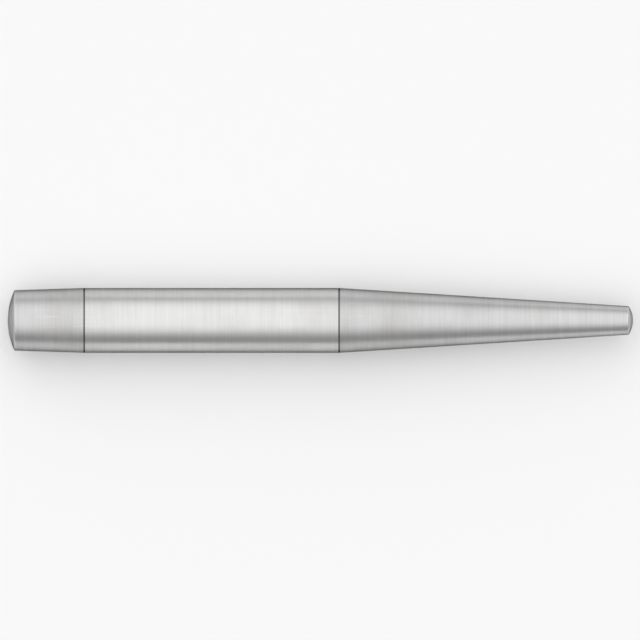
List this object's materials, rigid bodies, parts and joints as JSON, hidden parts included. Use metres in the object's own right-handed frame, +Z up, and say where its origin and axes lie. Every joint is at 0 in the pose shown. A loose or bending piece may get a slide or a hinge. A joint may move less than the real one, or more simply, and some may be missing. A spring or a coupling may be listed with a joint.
{
  "type": "drift pin",
  "caption": "Round steel drift pin with a crowned head, a parallel barrel and a long tapered nose, driven through the bolt holes of steel members to bring them into line.",
  "frame": {"origin": "on the pin's axis, halfway along the parallel barrel", "axes": "+X along the axis towards the nose, +Z up as the pin lies on its barrel"},
  "size_m": [0.1987, 0.0206, 0.0206],
  "materials": {
    "turned_steel": "fine turned and bright, with the barrel ground"
  },
  "bodies": {
    "root": {"drift_pin": "turned_steel"}
  },
  "joints": []
}
